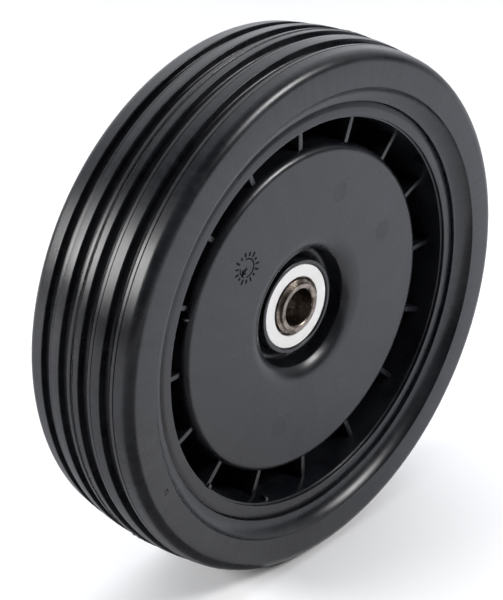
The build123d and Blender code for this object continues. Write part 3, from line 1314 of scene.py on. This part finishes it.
@dataclass
class Bearing:
    """The visible pieces of one bearing: its turned inner ring and white dust shield."""

    end: End
    bore_radius: float = 7.5
    hub_offset: float = 4.8
    nose_radius: float = 9.95
    tool_rings: tuple[float, ...] = (17.0, 16.65, 16.3)
    tool_ring_depth: float = 0.22
    tool_ring_half: float = 0.12
    tool_ring_round: float = 0.05
    mouth_round: float = 1.1
    nose_round: float = 0.2
    cone_round: float = 0.3
    edge_round: float = 0.15
    fine_round: float = 0.1
    shield_round: float = 0.25
    nose_face: float = 17.4
    shield_face: float = 15.4
    cone_length: float = 0.5
    seal_land_radius: float = 11.2
    land_end: float = 13.0
    land_radius: float = 12.4
    ring_end: float = 3.4
    pitch_radius: float = 13.9
    race_radius: float = 2.5
    race_middle: float = 8.9
    shield_bore_radius: float = 12.25
    shield_radius: float = 17.3
    shield_back: float = 14.4
    spigot_end: float = 13.5
    spigot_outer: float = 15.32
    spigot_inner: float = 14.42
    spans: int = 180

    @property
    def side(self) -> str:
        """Name of the bearing's end."""
        return self.end.name.lower()

    def placed(self, corners: Sequence[Corner]) -> list[Point]:
        """Round an outline's corners and put it at this bearing's end."""
        way = self.end.value
        return [(radius, along * way + self.hub_offset) for radius, along in soften(corners)]

    def race(self) -> list[Corner]:
        """List the groove that the balls run in.

        Returns:
            Its points from the outer edge to the inner edge.
        """
        drop = self.pitch_radius - self.land_radius
        reach = math.degrees(math.acos(drop / self.race_radius))
        middle = (self.pitch_radius, self.race_middle)
        return arc(middle, self.race_radius, 180 - reach, 180 + reach, 12)

    def inner_ring(self) -> list[Point]:
        """Draw the inner ring, with its standing nose and rounded mouth.

        Returns:
            The closed section.
        """
        rings: list[Corner] = []
        for middle in self.tool_rings:
            for step, depth in ((1, 0.0), (0, self.tool_ring_depth), (-1, 0.0)):
                along = middle + step * self.tool_ring_half
                rings.append((self.nose_radius - depth, along, self.tool_ring_round))
        return self.placed([
            (self.bore_radius, self.nose_face, self.mouth_round),
            (self.nose_radius, self.nose_face, self.nose_round),
            *rings,
            (self.nose_radius, self.shield_face + self.cone_length, self.cone_round),
            (self.seal_land_radius, self.shield_face, self.edge_round),
            (self.seal_land_radius, self.land_end, self.fine_round),
            (self.land_radius, self.land_end, self.fine_round),
            *self.race(),
            (self.land_radius, self.ring_end, self.nose_round),
            (self.bore_radius, self.ring_end, 0.0),
        ])

    def shield(self) -> list[Point]:
        """Draw the dust shield, with the spigot that snaps into the outer ring.

        Returns:
            The closed section.
        """
        return self.placed([
            (self.shield_bore_radius, self.shield_face, self.edge_round),
            (self.shield_radius, self.shield_face, self.shield_round),
            (self.shield_radius, self.shield_back, 0.0),
            (self.spigot_outer, self.shield_back, 0.0),
            (self.spigot_outer, self.spigot_end, self.fine_round),
            (self.spigot_inner, self.spigot_end, self.fine_round),
            (self.spigot_inner, self.shield_back, 0.0),
            (self.shield_bore_radius, self.shield_back, 0.0),
        ])

    def build(self, steel: bpy.types.Material, acetal: bpy.types.Material) -> None:
        """Build and dress the inner ring and the shield.

        Args:
            steel: Material of the ring.
            acetal: Material of the shield.
        """
        name = f"turned_{self.side}_ring"
        ring = make_object(name, sweep(name, self.inner_ring(), self.spans))
        dress(ring, steel, Body.SLEEVE, f"{self.side}_inner_ring")
        name = f"white_{self.side}_shield"
        shield = make_object(name, sweep(name, self.shield(), self.spans))
        dress(shield, acetal, Body.WHEEL, f"{self.side}_dust_shield")


def dress_hidden_pieces(nodes: dict[str, bpy.types.Object], steel: bpy.types.Material) -> None:
    """Give the bearings' inner solids their materials.

    Args:
        nodes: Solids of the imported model, by name.
        steel: Material of the rings.
    """
    balls = PolishedSteel().material()
    nylon = NaturalNylon().material()
    finishes = {"outer_ring": steel, "spacer_tube": steel, "balls": balls, "ball_cage": nylon}
    for name, piece in nodes.items():
        for ending, material in finishes.items():
            if name.endswith(ending):
                piece.data.materials.clear()
                piece.data.materials.append(material)
                LOG.info("%s keeps its solid, %s", name, material.name)


# Studio


def lay_sheet(name: str, corners: Sequence[Point], level_m: float) -> bpy.types.Object:
    """Lay one flat sheet of the studio, which isn't part of the wheel.

    Args:
        name: Name of the sheet.
        corners: X and Y of its corners, in metres.
        level_m: Its height.

    Returns:
        The sheet.
    """
    mesh = bpy.data.meshes.new(name)
    mesh.from_pydata([(x, y, level_m) for x, y in corners], [], [range(len(corners))])
    sheet = bpy.data.objects.new(name, mesh)
    bpy.context.scene.collection.objects.link(sheet)
    sheet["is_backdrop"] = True
    return sheet


@dataclass(frozen=True)
class SoftBox:
    """A soft studio lamp, by the way from the wheel to it."""

    name: str
    towards: tuple[float, float, float]
    distance_m: float
    width_m: float
    height_m: float
    watts: float
    mirrored: bool = True
    roll: float = 0.0

    def build(self) -> None:
        """Hang the lamp and aim it at the wheel."""
        lamp = bpy.data.lights.new(self.name, "AREA")
        lamp.shape = "RECTANGLE"
        lamp.size = self.width_m
        lamp.size_y = self.height_m
        lamp.energy = self.watts
        holder = bpy.data.objects.new(self.name, lamp)
        way = Vector(self.towards).normalized()
        holder.location = way * self.distance_m
        face = way.to_track_quat("Z", "Y").to_matrix()
        holder.rotation_euler = (face @ Matrix.Rotation(self.roll, 3, "Z")).to_euler()
        holder.visible_glossy = self.mirrored
        holder.visible_camera = False
        bpy.context.scene.collection.objects.link(holder)


@dataclass(frozen=True)
class Card:
    """A felt card that lies beside the wheel, where only shiny skins see it."""

    name: str
    colour: str
    corners: tuple[Point, ...]
    height_m: float = 0.002
    nap_size: float = 2.0
    nap_tone: str = "#ffffff"
    most_nap: float = 0.1

    def build(self, floor_top_m: float) -> None:
        """Lay the card just above the floor.

        Args:
            floor_top_m: Height of the floor.
        """
        card = lay_sheet(self.name, self.corners, floor_top_m + self.height_m)
        card.visible_camera = False
        card.visible_diffuse = False
        card.visible_shadow = False
        skin = Shading(f"{self.name}_felt")
        fluff = skin.add("ShaderNodeTexNoise", None, {
            "Vector": skin.place, "Scale": scale_of(self.nap_size), "Detail": 3.0
        })
        nap = skin.add("ShaderNodeMapRange", EASED, (fluff, *CLOUD, 0.0, self.most_nap))
        colour = skin.add("ShaderNodeMix", COLOURS, {
            SHARE: nap, FIRST: linear(self.colour), SECOND: linear(self.nap_tone)
        }, MIXED)
        felt = skin.finish(Base_Color=colour, Roughness=1.0, Specular_IOR_Level=0.0)
        card.data.materials.append(felt)


@dataclass
class Studio:
    """Pale floor, soft lamps, cards, surrounding light and the camera."""

    floor_top_m: float
    floor_size_m: float = 12.0
    floor_colour: str = "#fafafb"
    floor_patch: float = 300.0
    floor_tone: str = "#fefeff"
    bright_side: tuple[float, float, float] = (0.66, 0.58, 0.48)
    bright_span: Point = (0.3, 0.97)
    surround: Point = (0.09, 1.5)
    surround_colour: str = "#f4f6fb"
    cards: tuple[Card, ...] = (
        Card("dark_card", "#646467", (
            (-0.70, -0.60), (-0.02, -0.60), (-0.04, -0.22),
            (-0.06, -0.10), (-0.03, -0.02), (-0.70, -0.02),
        )),
        Card("light_card", "#bcbcc0", (
            (-0.70, -0.02), (-0.03, -0.02), (-0.03, 0.60), (-0.70, 0.60)
        )),
        Card("cool_card", "#f5f7ff", (
            (0.03, -1.60), (1.60, -1.60), (1.60, -0.03), (0.03, -0.03)
        )),
    )
    azimuth: float = math.radians(-48.84)
    elevation: float = math.radians(28.989)
    aim_depth: float = -26.7
    distance: float = 722.27
    focal_pixels: float = 1880.48
    aim_pixel: Point = (327.23, 319.52)
    sensor_mm: float = 36.0
    lamps: tuple[SoftBox, ...] = (
        SoftBox("key_box", (0.38, -0.71, 0.59), 0.9, 0.26, 0.26, 5.4),
        SoftBox("left_strip", (-0.76, 0.49, 0.385), 0.9, 0.70, 0.27, 7.5, roll=math.radians(18)),
        SoftBox("overhead_wash", (0.0, 0.1, 1.0), 2.2, 3.0, 3.0, 21.0, mirrored=False),
    )

    def floor(self) -> None:
        """Lay the pale floor that the wheel stands on."""
        half = self.floor_size_m / 2
        corners = [(-half, -half), (half, -half), (half, half), (-half, half)]
        floor = lay_sheet("floor", corners, self.floor_top_m)
        skin = Shading("pale_studio_floor")
        patches = skin.add("ShaderNodeTexNoise", None, {
            "Vector": skin.place, "Scale": scale_of(self.floor_patch), "Detail": 3.0
        })
        tone = skin.add("ShaderNodeMapRange", EASED, (patches, *CLOUD, *RISING))
        colour = skin.add("ShaderNodeMix", COLOURS, {
            SHARE: tone, FIRST: linear(self.floor_colour), SECOND: linear(self.floor_tone)
        }, MIXED)
        paint = skin.finish(Base_Color=colour, Roughness=0.9, Specular_IOR_Level=0.1)
        floor.data.materials.append(paint)

    def world(self) -> None:
        """Surround the wheel with light that is brighter behind it than in front."""
        world = bpy.data.worlds.new("studio")
        world.use_nodes = True
        bpy.context.scene.world = world
        tree = world.node_tree
        way = add_node(tree, "ShaderNodeTexCoord", output="Generated")
        bright = tuple(Vector(self.bright_side).normalized())
        facing = add_node(tree, "ShaderNodeVectorMath", DOT_PRODUCT, (way, bright), "Value")
        spans = (*self.bright_span, *self.surround)
        level = add_node(tree, "ShaderNodeMapRange", EASED, (facing, *spans))
        back = tree.nodes["Background"]
        back.inputs["Color"].default_value = linear(self.surround_colour)
        tree.links.new(level, back.inputs["Strength"])

    def camera(self) -> None:
        """Set the camera at the photograph's angle, with the wheel where the photograph has it."""
        flat = math.cos(self.elevation)
        back = Vector((
            math.sin(self.azimuth) * flat, -math.cos(self.azimuth) * flat, math.sin(self.elevation)
        ))
        right = Vector((math.cos(self.azimuth), math.sin(self.azimuth), 0.0))
        up = back.cross(right)
        aside = (PHOTO_WIDTH / 2 - self.aim_pixel[0]) / self.focal_pixels
        above = (self.aim_pixel[1] - PHOTO_HEIGHT / 2) / self.focal_pixels
        forward = (right * aside + up * above - back).normalized()
        right = forward.cross(up).normalized()
        up = right.cross(forward)
        camera = bpy.data.cameras.new("camera")
        camera.sensor_fit = "HORIZONTAL"
        camera.sensor_width = self.sensor_mm
        camera.lens = self.sensor_mm * self.focal_pixels / PHOTO_WIDTH
        camera.clip_end = 100.0
        holder = bpy.data.objects.new("camera", camera)
        place = Vector((0.0, self.aim_depth, 0.0)) * MM + back * self.distance * MM
        axes = Matrix((right, up, -forward)).transposed().to_4x4()
        holder.matrix_world = Matrix.Translation(place) @ axes
        bpy.context.scene.collection.objects.link(holder)
        bpy.context.scene.camera = holder

    def build(self) -> None:
        """Build the whole studio."""
        self.floor()
        self.world()
        for card in self.cards:
            card.build(self.floor_top_m)
        for lamp in self.lamps:
            lamp.build()
        self.camera()
        bpy.context.scene.view_settings.view_transform = "Standard"
        LOG.info("studio: %d lamps", len(self.lamps))


def plain(bounds: Sequence[Sequence[float]]) -> list[list[float]]:
    """Turn a box's corners into plain lists of numbers."""
    return [[float(value) for value in corner] for corner in bounds]


def main() -> None:
    """Load the frame, build each sub-assembly round it and lay the studio's floor under the solids.
    """
    logging.basicConfig(level=logging.INFO, format="%(name)s: %(message)s")
    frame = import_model()
    solid_box = plain(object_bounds())
    steel = TurnedSteel().material()
    acetal = MouldedAcetal().material()
    Tyre().build()
    Rim().build()
    for end in End:
        Bearing(end).build(steel, acetal)
    dress_hidden_pieces(frame["nodes"], steel)
    Studio(floor_top_m=solid_box[0][2]).build()


if __name__ == "__main__":
    main()
